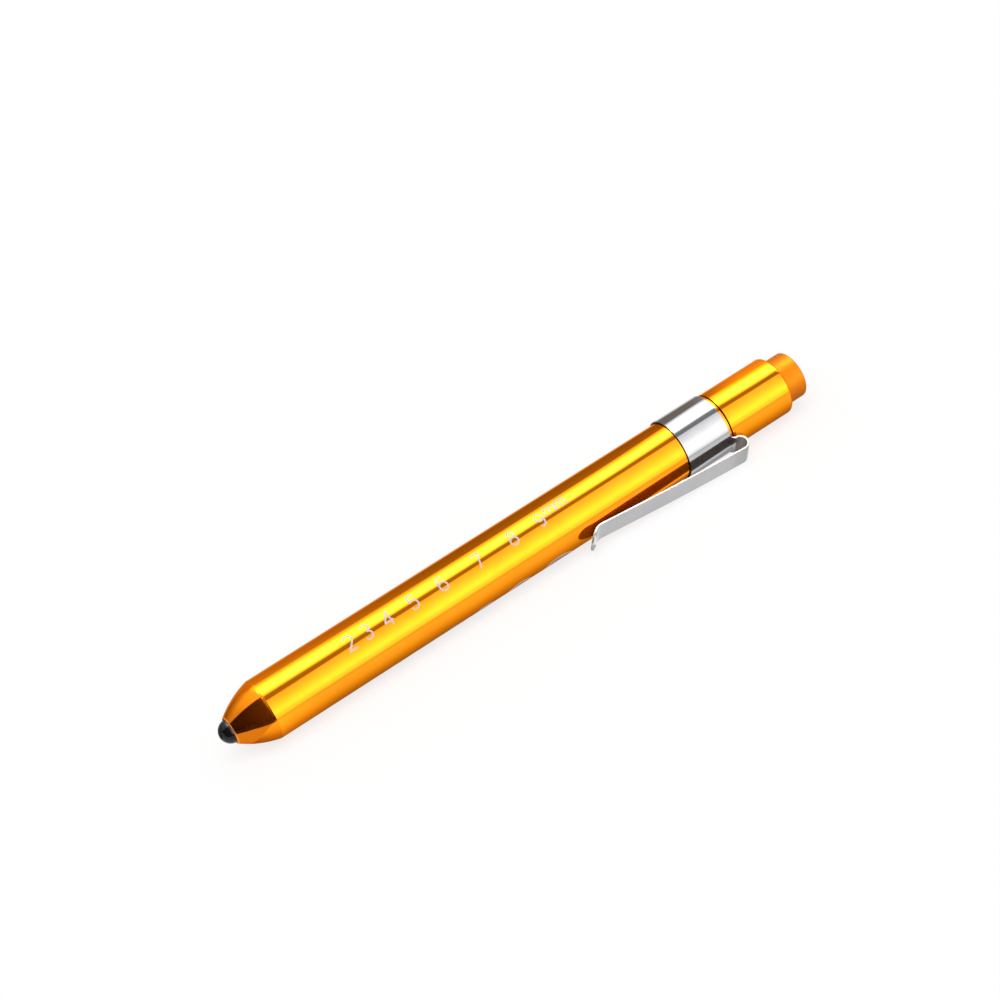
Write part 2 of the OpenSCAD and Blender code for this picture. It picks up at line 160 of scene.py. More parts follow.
def new_effect(name, inputs, outputs):
    """A shader node group with named number or vector inputs and number outputs."""
    group = bpy.data.node_groups.new(name, "ShaderNodeTree")
    for label, kind in inputs.items():
        group.interface.new_socket(label, in_out="INPUT", socket_type=kind)
    for label in outputs:
        group.interface.new_socket(label, in_out="OUTPUT", socket_type="NodeSocketFloat")
    return group, group.nodes.new("NodeGroupInput").outputs, group.nodes.new("NodeGroupOutput").inputs


def effect(tree, group, **inputs):
    """Places an effect in a finish and returns its first output."""
    return add_step(tree, "ShaderNodeGroup", inputs, node_tree=group)


# %% Effects as node groups
PLACE_AND_SCALE = {"Place": "NodeSocketVector", "Scale": "NodeSocketFloat"}

turning_lines, given, result = new_effect("turning_lines", PLACE_AND_SCALE, ["Height"])
along = add_node(turning_lines, "ShaderNodeSeparateXYZ", {0: given["Place"]}).outputs["X"]
ring = add_node(turning_lines, "ShaderNodeTexNoise", {"W": along, "Scale": given["Scale"], "Detail": 3.0},
                noise_dimensions="1D")
turning_lines.links.new(ring.outputs["Fac"], result["Height"])

handling_marks, given, result = new_effect("handling_marks", PLACE_AND_SCALE, ["Mask"])
patches = add_node(handling_marks, "ShaderNodeTexNoise",
                   {"Vector": given["Place"], "Scale": given["Scale"], "Detail": 5.0, "Roughness": 0.6})
dull = spread(handling_marks, patches.outputs["Fac"], 0.45, 0.75, 0.0, 1.0)
handling_marks.links.new(dull, result["Mask"])

tiny_pits, given, result = new_effect("tiny_pits", PLACE_AND_SCALE, ["Mask"])
cell = add_node(tiny_pits, "ShaderNodeTexVoronoi", {"Vector": given["Place"], "Scale": given["Scale"]})
pit = spread(tiny_pits, cell.outputs["Distance"], 0.012, 0.018, 1.0, 0.0)
tiny_pits.links.new(pit, result["Mask"])
print("effects:", [group.name for group in (turning_lines, handling_marks, tiny_pits)])

# %% [markdown]
# ## The gold anodised tube
# The tube is aluminium, polished, then dyed and sealed: a mirror that keeps the red and yellow of the
# light and swallows the blue, under a clear skin of oxide. A metal with a thin clear coat gives that. The
# rings left by the lathe only bend the reflections a little, so they go into a shallow bump, a stronger
# one on the nose, which is polished less. The nose is also painted a darker gold, as painted shade. The
# rim round the lamp is cut after polishing, so it is duller, and its paler gold is a painted highlight.
# A dark line of painted shade is laid in the joint between the barrel and the tail cap. A few helpers for
# the finishes come first.


# %% Finish helpers
def sum_of(tree, operation, *values):
    """One step of arithmetic on numbers or links."""
    return add_step(tree, "ShaderNodeMath", dict(enumerate(values)), operation=operation)


def times(tree, first, second):
    """One number or link times another."""
    return sum_of(tree, "MULTIPLY", first, second)


def mixed_colour(tree, share, first, second):
    """A colour between two others."""
    mix = add_node(tree, "ShaderNodeMix", {0: share, 6: first, 7: second}, data_type="RGBA")
    return mix.outputs[2]


def bumped(tree, height, strength, depth):
    """A normal bent by a height; the depth is in mm."""
    sockets = {"Strength": strength, "Distance": depth * MM, "Height": height}
    return add_node(tree, "ShaderNodeBump", sockets).outputs["Normal"]


def bare_tree(owner):
    """Turns on the nodes of a finish or a sky, and empties its tree."""
    owner.use_nodes = True
    owner.node_tree.nodes.clear()
    return owner.node_tree


def new_finish(name):
    """An empty finish: its tree, the piece's own coordinates, and the surface shader."""
    finish = bpy.data.materials.new(name)
    tree = bare_tree(finish)
    place = add_node(tree, "ShaderNodeTexCoord").outputs["Object"]
    surface = add_node(tree, "ShaderNodeBsdfPrincipled")
    add_node(tree, "ShaderNodeOutputMaterial", {"Surface": surface.outputs["BSDF"]})
    return finish, tree, place, surface


# %% Gold finish
GOLD = (0.95, 0.285, 0.008, 1)
DEEP_GOLD = (0.9, 0.255, 0.006, 1)
# painted shade: the nose is coloured a darker gold than the barrel
NOSE_SHADE_GOLD = (0.73, 0.19, 0.004, 1)
# painted highlight: the cut rim gets a paler gold
RIM_HIGHLIGHT_GOLD = (0.95, 0.34, 0.07, 1)
# colour of the dye's pits, also used for the painted shade in the joint at the tail cap
PIT_AND_SEAM_SHADE_BROWN = (0.08, 0.02, 0.002, 1)
RIM_EDGE = -140.63
SHOULDER = -133.1
SEAM = -21.05

gold_anodised, tree, place, surface = new_finish("gold_anodised")
dulled = effect(tree, handling_marks, Place=place, Scale=90.0)
pitted = effect(tree, tiny_pits, Place=place, Scale=110.0)
rings = effect(tree, turning_lines, Place=place, Scale=3500.0)
along = add_node(tree, "ShaderNodeSeparateXYZ", {0: place}).outputs["X"]
# 1 on the rim, which is rougher where it is cut and has a painted highlight in its paler gold
bare_rim_and_highlight = spread(tree, along, (RIM_EDGE - 0.03) * MM, (RIM_EDGE + 0.03) * MM, 1.0, 0.0)
# painted shade: 1 on the nose, where the darker gold is painted
nose_shade_share = spread(tree, along, (SHOULDER - 0.1) * MM, (SHOULDER + 0.1) * MM, 1.0, 0.0)
ring_strength = spread(tree, along, (SHOULDER - 0.2) * MM, (SHOULDER + 0.4) * MM, 0.45, 0.04)
from_seam = sum_of(tree, "ABSOLUTE", sum_of(tree, "SUBTRACT", along, SEAM * MM))
# painted shade: a dark line in the joint between the barrel and the tail cap
painted_seam_shade = spread(tree, from_seam, 0.16 * MM, 0.2 * MM, 1.0, 0.0)
# handling marks, and painted shade on the nose
tube_dye_with_nose_shade = mixed_colour(tree, nose_shade_share, mixed_colour(tree, dulled, GOLD, DEEP_GOLD), NOSE_SHADE_GOLD)
# the tube's colour with the rim's painted highlight and the nose's painted shade
dye_with_painted_light = mixed_colour(tree, bare_rim_and_highlight, tube_dye_with_nose_shade, RIM_HIGHLIGHT_GOLD)
# the pits, and the painted shade in the joint
pits_and_seam_shade = sum_of(tree, "MAXIMUM", pitted, painted_seam_shade)
gloss = spread(tree, dulled, 0.0, 1.0, 0.07, 0.11)
set_sockets(tree, surface, {
    "Base Color": mixed_colour(tree, pits_and_seam_shade, dye_with_painted_light, PIT_AND_SEAM_SHADE_BROWN),
    "Roughness": sum_of(tree, "ADD", gloss, times(tree, bare_rim_and_highlight, 0.4)),
    "Normal": bumped(tree, rings, ring_strength, 0.012),
    "Metallic": 1.0,
    "Specular Tint": (0.85, 0.5, 0.2, 1),
    "Coat Weight": 0.05,
    "Coat Roughness": 0.04,
})
print("gold finish uses", len(tree.nodes), "nodes")

# %% [markdown]
# ## Sections turned on a lathe
# The tube, cap, button, lamp and band are all turned shapes. Each one is a closed outline of (along, out)
# points swung round the pen's axis. Real edges are never knife sharp, so a corner may carry a small
# rounding, with a holding point on each side to keep the flats beside it flat when they are shaded
# smoothly.

# %% Rounded corners
HOLDING = 1.4


def softened(corners, steps=6):
    """Rounds a section's corners: each is (along, out, rounding) in mm."""
    outline = []
    for i, (along, out, rounding) in enumerate(corners):
        here = Vector((along, out))
        if rounding == 0:
            outline.append(here)
            continue
        back = (Vector(corners[i - 1][:2]) - here).normalized()
        ahead = (Vector(corners[(i + 1) % len(corners)][:2]) - here).normalized()
        half_bend = back.angle(ahead) / 2
        reach = rounding / tan(half_bend)
        centre = here + (back + ahead).normalized() * rounding / sin(half_bend)
        first = (here + back * reach - centre) / rounding
        last = (here + ahead * reach - centre) / rounding
        outline.append(here + back * reach * HOLDING)
        for step in range(steps + 1):
            outline.append(centre + first.slerp(last, step / steps).normalized() * rounding)
        outline.append(here + ahead * reach * HOLDING)
    return outline


print("a rounded corner takes", len(softened([(0, 0, 0.1), (1, 0, 0), (0, 1, 0)])) - 2, "points")

# %% Turned pieces
SHARP_ANGLE = radians(35)


def as_piece(name, mesh, finish):
    """Puts a mesh in the scene with its finish, shaded smooth except at sharp edges."""
    mesh.materials.clear()
    mesh.materials.append(finish)
    mesh.shade_smooth()
    mesh.set_sharp_from_angle(angle=SHARP_ANGLE)
    return add_object(name, mesh)


def turned(name, outline, finish, slices=192):
    """Swings a closed outline round the pen's axis; points on the axis become poles."""
    shape = bmesh.new()
    rings = []
    for along, out in outline:
        count = slices if out > 0 else 1
        turns = [2 * pi * i / slices for i in range(count)]
        points = [Vector((along, out * cos(turn), out * sin(turn))) * MM for turn in turns]
        rings.append([shape.verts.new(point) for point in points])
    for ring, following in zip(rings, rings[1:] + rings[:1]):
        for i in range(slices):
            j = i + 1
            loop = [ring[i % len(ring)], ring[j % len(ring)],
                    following[j % len(following)], following[i % len(following)]]
            corners = list(dict.fromkeys(loop))
            if len(corners) > 2:
                shape.faces.new(corners)
    bmesh.ops.recalc_face_normals(shape, faces=shape.faces)
    mesh = bpy.data.meshes.new(name)
    shape.to_mesh(mesh)
    shape.free()
    return as_piece(name, mesh, finish)


# %% [markdown]
# ## The barrel
# One tube from nose to thread: a rounded nose that runs into the straight barrel at a soft shoulder, a
# narrow collar behind the clip's band, and a thinner spigot for the tail cap. All distances along the pen
# are measured from the button's flat end, so the nose is at the far negative end.

# %% Barrel tube
BARREL_R = 6.5
BORE_R = 5.4
NOSE_RIM = -140.9
NOSE_RIM_R = 2.795
NOSE_CURVE_R = 20
LAMP_BORE_R = 2.575
LAMP_SEAT_R = 2.95
LAMP_SEAT = -135.6
COLLAR_END = -21.2
SPIGOT_END = -15.2
SPIGOT_ROOT_R = 5.53
NOSE_STEPS = 24

rim = Vector((NOSE_RIM, NOSE_RIM_R))
shoulder = Vector((SHOULDER, BARREL_R))
chord = shoulder - rim
rise = sqrt(NOSE_CURVE_R ** 2 - (chord.length / 2) ** 2)
curve_centre = (rim + shoulder) / 2 + Vector((chord.y, -chord.x)).normalized() * rise
rim_turn = atan2(rim.y - curve_centre.y, rim.x - curve_centre.x)
shoulder_turn = atan2(shoulder.y - curve_centre.y, shoulder.x - curve_centre.x)
nose_turns = [rim_turn + (shoulder_turn - rim_turn) * i / NOSE_STEPS for i in range(1, NOSE_STEPS)]
nose_curve = [curve_centre + NOSE_CURVE_R * Vector((cos(a), sin(a))) for a in nose_turns]

section = [(NOSE_RIM, LAMP_BORE_R, 0.02), (NOSE_RIM, NOSE_RIM_R, 0.27)]
section += [(point.x, point.y, 0) for point in nose_curve]
section += [(SHOULDER, BARREL_R, 0.35), (COLLAR_END, BARREL_R, 0.08), (COLLAR_END, SPIGOT_ROOT_R, 0)]
section += [(SPIGOT_END, SPIGOT_ROOT_R, 0.04), (SPIGOT_END, BORE_R, 0.04), (SHOULDER, BORE_R, 0)]
section += [(SHOULDER, LAMP_SEAT_R, 0), (LAMP_SEAT, LAMP_SEAT_R, 0), (LAMP_SEAT, LAMP_BORE_R, 0)]
barrel_tube = turned("barrel_tube", softened(section), gold_anodised)
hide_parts("barrel")
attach(barrel_tube, "body")
print("barrel tube:", len(barrel_tube.data.polygons), "faces")

# %% [markdown]
# ## The tail cap and the push button
# The cap screws on behind the band and holds the switch; its rear edge is rounded over. The button stands
# out of it and has a flange inside that keeps it in. The button is blasted before it is dyed, so it is
# the same colour but satin, and its flat end shows no mirror image.

# %% Tail cap
CAP_FRONT = -20.9
CAP_SEAT = -11.8
CAP_LIP = -6.95
CAP_REAR = -4.95
CAP_BORE_R = 5.8
BUTTON_BORE_R = 5.55
CAP_OPENING_R = 5.25

section = [(CAP_FRONT, CAP_BORE_R, 0.08), (CAP_FRONT, BARREL_R, 0.1), (CAP_REAR, BARREL_R, 0.6)]
section += [(CAP_REAR, CAP_OPENING_R, 0.15), (CAP_LIP, CAP_OPENING_R, 0), (CAP_LIP, BUTTON_BORE_R, 0)]
section += [(CAP_SEAT, BUTTON_BORE_R, 0), (CAP_SEAT, CAP_BORE_R, 0)]
tail_cap = turned("tail_cap_shell", softened(section), gold_anodised)
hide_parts("tail_cap")
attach(tail_cap, "cap")
print("tail cap:", len(tail_cap.data.polygons), "faces")


# %% Satin finish
def noise(tree, place, scale, detail=3.0):
    """Soft random patches, from 0 to 1."""
    sockets = {"Vector": place, "Scale": scale, "Detail": detail}
    return add_node(tree, "ShaderNodeTexNoise", sockets).outputs["Fac"]


SATIN_GOLD = (0.6, 0.165, 0.003, 1)
HANDLED_SATIN = (0.53, 0.14, 0.003, 1)

button_satin, tree, place, surface = new_finish("button_satin")
dulled = effect(tree, handling_marks, Place=place, Scale=250.0)
blasted = noise(tree, place, 9000.0, 2.0)
set_sockets(tree, surface, {
    "Base Color": mixed_colour(tree, dulled, SATIN_GOLD, HANDLED_SATIN),
    "Roughness": spread(tree, dulled, 0.0, 1.0, 0.42, 0.5),
    "Normal": bumped(tree, blasted, 0.35, 0.01),
    "Metallic": 0.65,
    "Specular Tint": (0.9, 0.5, 0.2, 1),
})
print("satin finish uses", len(tree.nodes), "nodes")

# %% Push button
BUTTON_FRONT = -8.05
BUTTON_FLANGE_END = -7.05
BUTTON_SOCKET_END = -1.2
BUTTON_FLANGE_R = 5.45
BUTTON_R = 5.15
BUTTON_SOCKET_R = 4.15
END_RING_R = 2.5

section = [(BUTTON_FRONT, BUTTON_SOCKET_R, 0), (BUTTON_FRONT, BUTTON_FLANGE_R, 0.05)]
section += [(BUTTON_FLANGE_END, BUTTON_FLANGE_R, 0.05), (BUTTON_FLANGE_END, BUTTON_R, 0), (0, BUTTON_R, 0.5)]
section += [(0, END_RING_R, 0), (0, 0, 0)]
section += [(BUTTON_SOCKET_END, 0, 0), (BUTTON_SOCKET_END, BUTTON_SOCKET_R, 0)]
push_button = turned("push_button_cap", softened(section), button_satin)
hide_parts("push_button")
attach(push_button, "button")
print("push button:", len(push_button.data.polygons), "faces")

# %% [markdown]
# ## The lamp
# A standard lamp with a domed end, moulded in smoky epoxy, pokes out of the nose. It looks almost black,
# with sharp highlights. The dome is a quarter circle in the section, and a faint cloud in the colour
# keeps it from being flat.

# %% Lamp dome
LAMP_TIP = -143.199
LAMP_R = 2.5
LAMP_FLANGE = LAMP_SEAT
LAMP_BASE = -134.6
LAMP_FLANGE_R = 2.9
SMOKE = (0.003, 0.003, 0.004, 1)
PALE_SMOKE = (0.007, 0.007, 0.008, 1)

lamp_body, tree, place, surface = new_finish("lamp_body")
cloud = noise(tree, place, 700.0)
set_sockets(tree, surface, {
    "Base Color": mixed_colour(tree, cloud, SMOKE, PALE_SMOKE),
    "Roughness": spread(tree, cloud, 0.3, 0.7, 0.1, 0.16),
    "IOR": 1.36,
})

dome = [(LAMP_TIP + LAMP_R * (1 - cos(radians(a))), LAMP_R * sin(radians(a)), 0)
        for a in range(0, 90, 5)]
section = dome + [(LAMP_TIP + LAMP_R, LAMP_R, 0), (LAMP_FLANGE, LAMP_R, 0), (LAMP_FLANGE, LAMP_FLANGE_R, 0)]
section += [(LAMP_BASE, LAMP_FLANGE_R, 0), (LAMP_BASE, 0, 0)]
lamp_dome = turned("lamp_dome", softened(section), lamp_body, slices=96)
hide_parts("led_lens")
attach(lamp_dome, "body")
print("lamp dome:", len(lamp_dome.data.polygons), "faces")

# %% [markdown]
# ## The clip's band
# The clip is one strip of polished stainless sheet, rolled into a band that grips the barrel. The band's
# edges are slightly rounded outside and chamfered inside. Only the outer face is polished: the sheared
# edges and the inside of the strip stay dull, and the band's sheared edges are painted near black, as
# painted shade where they meet the gold. Each piece marks such faces in an attribute, and the steel finish
# reads it.

# %% Steel finish
POLISHED_STEEL = (0.4, 0.4, 0.41, 1)
HANDLED_STEEL = (0.36, 0.36, 0.365, 1)
UNPOLISHED_STEEL = (0.3, 0.26, 0.23, 1)
# painted shade: the band's sheared edges are painted near black where they meet the gold
SHADED_SHEARED_STEEL = (0.025, 0.025, 0.027, 1)

clip_steel, tree, place, surface = new_finish("clip_steel")
drawn = add_step(tree, "ShaderNodeMapping", {"Vector": place, "Scale": (0.08, 1.0, 1.0)})
rolled = noise(tree, drawn, 2500.0)
dulled = effect(tree, handling_marks, Place=place, Scale=160.0)
polished = mixed_colour(tree, dulled, POLISHED_STEEL, HANDLED_STEEL)
unpolished = add_node(tree, "ShaderNodeAttribute", attribute_name="unpolished").outputs["Fac"]
# the band's sheared edges: dull, and painted near black as painted shade
sheared_and_shaded = add_node(tree, "ShaderNodeAttribute", attribute_name="sheared_and_shaded").outputs["Fac"]
faced = mixed_colour(tree, unpolished, polished, UNPOLISHED_STEEL)
gloss = spread(tree, dulled, 0.0, 1.0, 0.05, 0.1)
roughened = times(tree, sum_of(tree, "ADD", unpolished, sheared_and_shaded), 0.25)
set_sockets(tree, surface, {
    "Base Color": mixed_colour(tree, sheared_and_shaded, faced, SHADED_SHEARED_STEEL),
    "Roughness": sum_of(tree, "ADD", gloss, roughened),
    "Metallic": spread(tree, unpolished, 0.0, 1.0, 1.0, 0.15),
    "Normal": bumped(tree, rolled, 0.04, 0.003),
})
print("steel finish uses", len(tree.nodes), "nodes")

# %% Clip band
BAND_FRONT = -32.7
BAND_REAR = -21.85
BAND_R = 6.898
BAND_INNER_R = 6.49


def mark_faces(piece, label, amount):
    """Writes an amount on every face, for the steel finish to read."""
    marks = piece.data.attributes.new(label, "FLOAT", "FACE")
    for face in piece.data.polygons:
        marks.data[face.index].value = amount(face)
    print(piece.name, "has", sum(amount(face) > 0 for face in piece.data.polygons), label, "faces")


chamfer = 0.12
section = [(BAND_FRONT + chamfer, BAND_INNER_R, 0), (BAND_FRONT, BAND_INNER_R + chamfer, 0.02)]
section += [(BAND_FRONT, BAND_R, 0.1), (BAND_REAR, BAND_R, 0.1)]
section += [(BAND_REAR, BAND_INNER_R + chamfer, 0.02), (BAND_REAR - chamfer, BAND_INNER_R, 0)]
clip_band = turned("clip_band_ring", softened(section), clip_steel)
# the band's front and rear edges: dull, and painted near black as painted shade
mark_faces(clip_band, "sheared_and_shaded", lambda face: 1.0 if abs(face.normal.x) > 0.6 else 0.0)
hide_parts("clip_band")
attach(clip_band, "body")
print("clip band:", len(clip_band.data.polygons), "faces")

# %% [markdown]
# ## The clip's arm
# Behind the band the strip leaves as a tongue, turns back on itself in a tight fold, runs forward as a
# springy arm and ends in a lip that is turned out, so that cloth slides under it. We draw the middle of
# the sheet as a path of (along, out) points in the clip's own plane, lay a grid across it, and let
# Solidify and Bevel give the sheet its thickness and its broken edges. Near the band the tongue keeps the
# band's roundness, and it flattens on its way to the fold.


# %% Sizes of the clip's strip
def joint(name):
    """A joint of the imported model, as its record gives it."""
    return next(entry for entry in frame["record"]["behaviour"]["joints"] if entry["name"] == name)


CLIP_SIDE = -Vector(joint("clip_flex")["axis"])
CLIP_OUT = CLIP_SIDE.cross(Vector((1, 0, 0)))
SHEET = 0.4
STRIP_HALF = 2.6
FOLD_X = -21.0
FOLD_OUT = 8.395
FOLD_MID_R = 1.573
ARM_SLOPE = radians(5.319)
ARM_LENGTH = 34.8
ARM_BOW = 0.2
ARM_LIFT = 0.1
LIP_BEND_R = 3.0
LIP_RISE = radians(36)
LIP_RUN = 2.9
ROOT_R = 6.69
ROOT_LAP = 0.4
TONGUE_OUT = 6.82
ROUND_ROWS = 3
TONGUE_ROWS = 8
FOLD_ROWS = 40
ARM_ROWS = 24
LIP_ROWS = 20
print("the clip points out along", [round(v, 3) for v in CLIP_OUT])

# %% Tongue, fold and arm
# Each row is (along, out, half width, share of the band's roundness that is left)
strip_rows = []
for i in range(TONGUE_ROWS + 1):
    gone = max(0.0, (i - ROUND_ROWS) / (TONGUE_ROWS - ROUND_ROWS))
    ease = gone * gone * (3 - 2 * gone)
    x = BAND_REAR - ROOT_LAP + (FOLD_X - BAND_REAR + ROOT_LAP) * i / TONGUE_ROWS
    strip_rows.append((x, ROOT_R + (TONGUE_OUT - ROOT_R) * ease, STRIP_HALF, 1 - ease))
for i in range(1, FOLD_ROWS + 1):
    turn = -pi / 2 + (pi + ARM_SLOPE) * i / FOLD_ROWS
    x = FOLD_X + FOLD_MID_R * cos(turn)
    strip_rows.append((x, FOLD_OUT + FOLD_MID_R * sin(turn), STRIP_HALF, 0))
arm_start = strip_rows[-1]
arm_from = len(strip_rows)
for i in range(1, ARM_ROWS):
    run = ARM_LENGTH * i / ARM_ROWS
    x = arm_start[0] - run * cos(ARM_SLOPE)
    bowed = ARM_BOW * sin(pi * i / ARM_ROWS) + ARM_LIFT * i / ARM_ROWS
    strip_rows.append((x, arm_start[1] - run * sin(ARM_SLOPE) + bowed, STRIP_HALF, 0))
print("tongue, fold and arm:", len(strip_rows), "rows")

# %% Lip
lip_start = (arm_start[0] - ARM_LENGTH * cos(ARM_SLOPE),
             arm_start[1] - ARM_LENGTH * sin(ARM_SLOPE) + ARM_LIFT)
bend_length = LIP_BEND_R * (LIP_RISE + ARM_SLOPE)


def on_lip(run):
    """A point on the lip, by its distance from where the arm starts to bend: an arc, then straight."""
    climb = min(run, bend_length) / LIP_BEND_R - ARM_SLOPE
    straight = max(0.0, run - bend_length)
    x = lip_start[0] - LIP_BEND_R * (sin(ARM_SLOPE) + sin(climb)) - straight * cos(climb)
    out = lip_start[1] + LIP_BEND_R * (cos(ARM_SLOPE) - cos(climb)) + straight * sin(climb)
    return (x, out)


tip_start = bend_length + LIP_RUN - STRIP_HALF
for i in range(LIP_ROWS):
    strip_rows.append((*on_lip(tip_start * i / LIP_ROWS), STRIP_HALF, 0))
for degrees in range(0, 90, 6):
    round_tip = radians(degrees)
    half = STRIP_HALF * cos(round_tip)
    strip_rows.append((*on_lip(tip_start + STRIP_HALF * sin(round_tip)), half, 0))
clearance = min(out for x, out, half, roundness in strip_rows[arm_from:]) - SHEET / 2 - BARREL_R
print("clip strip path:", len(strip_rows), "rows; the arm clears the barrel by", round(clearance, 3), "mm")


# %% Grid across the path
def clip_point(along, out, side=0.0):
    """A point in the clip's own plane or beside it, given in mm, as a point of the model in metres."""
    return (Vector((along, 0, 0)) + CLIP_OUT * out + CLIP_SIDE * side) * MM


ACROSS = (-1, -0.96, -0.8, -0.6, -0.4, -0.2, 0, 0.2, 0.4, 0.6, 0.8, 0.96, 1)
strip = bmesh.new()
grid = []
for along, out, half, roundness in strip_rows:
    row = []
    for share in ACROSS:
        side = half * share
        round_out = sqrt(ROOT_R ** 2 - side ** 2)
        row.append(strip.verts.new(clip_point(along, out + (round_out - ROOT_R) * roundness, side)))
    grid.append(row)
for row, following in zip(grid, grid[1:]):
    for i in range(len(ACROSS) - 1):
        strip.faces.new((row[i], row[i + 1], following[i + 1], following[i]))
strip_mesh = bpy.data.meshes.new("clip_strip_middle")
strip.to_mesh(strip_mesh)
strip.free()
print("grid:", len(grid), "rows of", len(ACROSS), "points")


# %% Sheet of the strip
def keep_result(name, worker, finish):
    """Keeps what an object's modifiers make as a plain piece, and removes the object."""
    evaluated = worker.evaluated_get(bpy.context.evaluated_depsgraph_get())
    mesh = bpy.data.meshes.new_from_object(evaluated)
    mesh.name = name
    worker.modifiers.clear()
    bpy.data.objects.remove(worker)
    return as_piece(name, mesh, finish)


def with_modifiers(name, mesh, finish, **modifiers):
    """Applies modifiers to a mesh and returns the result as a piece."""
    worker = add_object(name + "_worker", mesh)
    for kind, settings in modifiers.items():
        modifier = worker.modifiers.new(kind, kind)
        for key, value in settings.items():
            setattr(modifier, key, value)
    return keep_result(name, worker, finish)


thicken = {"thickness": SHEET * MM, "offset": 0.0, "use_even_offset": True}
break_edges = {"width": 0.1 * MM, "segments": 4, "limit_method": "ANGLE", "angle_limit": radians(50)}
clip_strip = with_modifiers("clip_strip", strip_mesh, clip_steel, SOLIDIFY=thicken, BEVEL=break_edges)
print("clip strip:", len(clip_strip.data.polygons), "faces")


# %% Dull faces of the strip
def clip_dullness(face):
    """1 on faces that look towards the barrel or into the fold, less on the strip's edges."""
    along = face.center.x / MM
    out = face.center.dot(CLIP_OUT) / MM
    if abs(face.normal.dot(CLIP_SIDE)) > 0.5:
        return 0.6
    if along > FOLD_X:
        return 1.0 if hypot(along - FOLD_X, out - FOLD_OUT) < FOLD_MID_R - 0.1 else 0.0
    return 1.0 if face.normal.dot(CLIP_OUT) < -0.3 else 0.0


mark_faces(clip_strip, "unpolished", clip_dullness)
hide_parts("clip_arm")
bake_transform(clip_strip)

# %% [markdown]
# ## Trees of geometry nodes
# The screw thread, the gauge's figures and its dots each follow a rule: a ridge along a spiral, a flat
# line along a stroke, a row of discs that grow. A small tree makes each one from named sizes. A helper
# runs a tree on a seed mesh and keeps the result as a plain mesh, because the export carries no
# instances.


# %% Tree helpers
def new_tree(name, sizes):
    """A geometry node tree with named number inputs; returns it with its inputs."""
    tree = bpy.data.node_groups.new(name, "GeometryNodeTree")
    tree.interface.new_socket("Geometry", in_out="INPUT", socket_type="NodeSocketGeometry")
    tree.interface.new_socket("Geometry", in_out="OUTPUT", socket_type="NodeSocketGeometry")
    for label in sizes:
        tree.interface.new_socket(label, in_out="INPUT", socket_type="NodeSocketFloat")
    return tree, tree.nodes.new("NodeGroupInput").outputs


def end_tree(tree, geometry, finish):
    """Ends a tree: real geometry, its finish, and the output."""
    real = add_step(tree, "GeometryNodeRealizeInstances", {0: geometry})
    dressed = add_step(tree, "GeometryNodeSetMaterial", {"Geometry": real, "Material": finish})
    add_node(tree, "NodeGroupOutput", {0: dressed})


def grown(name, tree, sizes, finish, seed_points=((0, 0, 0),), seed_edges=()):
    """Runs a tree on a seed mesh and returns the result as a piece."""
    seed = bpy.data.meshes.new(name + "_seed")
    seed.from_pydata(seed_points, seed_edges, [])
    worker = add_object(name + "_worker", seed)
    modifier = worker.modifiers.new("tree", "NODES")
    modifier.node_group = tree
    for socket in tree.interface.items_tree:
        if socket.in_out == "INPUT" and socket.name in sizes:
            modifier[socket.identifier] = sizes[socket.name]
    return keep_result(name, worker, finish)


# %% [markdown]
# ## The screw thread
# The cap's thread shows on the spigot when the cap is turned back. A spiral with a low ridge drawn along
# it is a thread; the ridge shrinks at both ends, where a real die runs in and out.


# %% Helpers for wound paths
def coil(tree, given, height, resolution):
    """A path that winds round at one radius as it climbs."""
    sockets = {"Resolution": resolution, "Rotations": given["Turns"], "Height": height,
               "Start Radius": given["Radius"], "End Radius": given["Radius"]}
    return add_step(tree, "GeometryNodeCurveSpiral", sockets)


def swept(tree, path, outline, **more):
    """Draws a closed outline along a path and caps its ends."""
    sockets = {"Curve": path, "Profile Curve": outline, "Fill Caps": True, **more}
    return add_step(tree, "GeometryNodeCurveToMesh", sockets)


def laid_down(tree, standing, start):
    """Lays something that stands up along the pen, from a start."""
    foot = add_step(tree, "ShaderNodeCombineXYZ", {"X": start})
    sockets = {"Geometry": standing, "Rotation": (0, radians(90), 0), "Translation": foot}
    return add_step(tree, "GeometryNodeTransform", sockets)


# %% Tree of the thread
tree, given = new_tree("spigot_thread", ["Pitch", "Turns", "Radius", "Start", "Depth"])
height = times(tree, given["Pitch"], given["Turns"])
spiral = coil(tree, given, height, 96)
upright = add_step(tree, "GeometryNodeSetCurveNormal", {"Curve": spiral}, mode="Z_UP")
wide = times(tree, given["Pitch"], 0.7)
narrow = times(tree, given["Pitch"], 0.2)
ridge = add_step(tree, "GeometryNodeCurvePrimitiveQuadrilateral",
                 {"Bottom Width": wide, "Top Width": narrow, "Offset": 0.0, "Height": given["Depth"]},
                 mode="TRAPEZOID")
turned_ridge = add_step(tree, "GeometryNodeTransform",
                        {"Geometry": ridge, "Rotation": (0, 0, radians(90))})
along = add_node(tree, "GeometryNodeSplineParameter").outputs["Factor"]
from_end = sum_of(tree, "MINIMUM", along, sum_of(tree, "SUBTRACT", 1.0, along))
taper = spread(tree, from_end, 0.0, 0.08, 0.05, 1.0)
thread = swept(tree, upright, turned_ridge, Scale=taper)
end_tree(tree, laid_down(tree, thread, given["Start"]), gold_anodised)
print("thread tree has", len(tree.nodes), "nodes")

# %% Spigot thread
THREAD_PITCH = 1.0
THREAD_FROM = COLLAR_END + 0.8
THREAD_TURNS = 4.5
THREAD_DEPTH = 0.2
THREAD_LIFT = 0.09

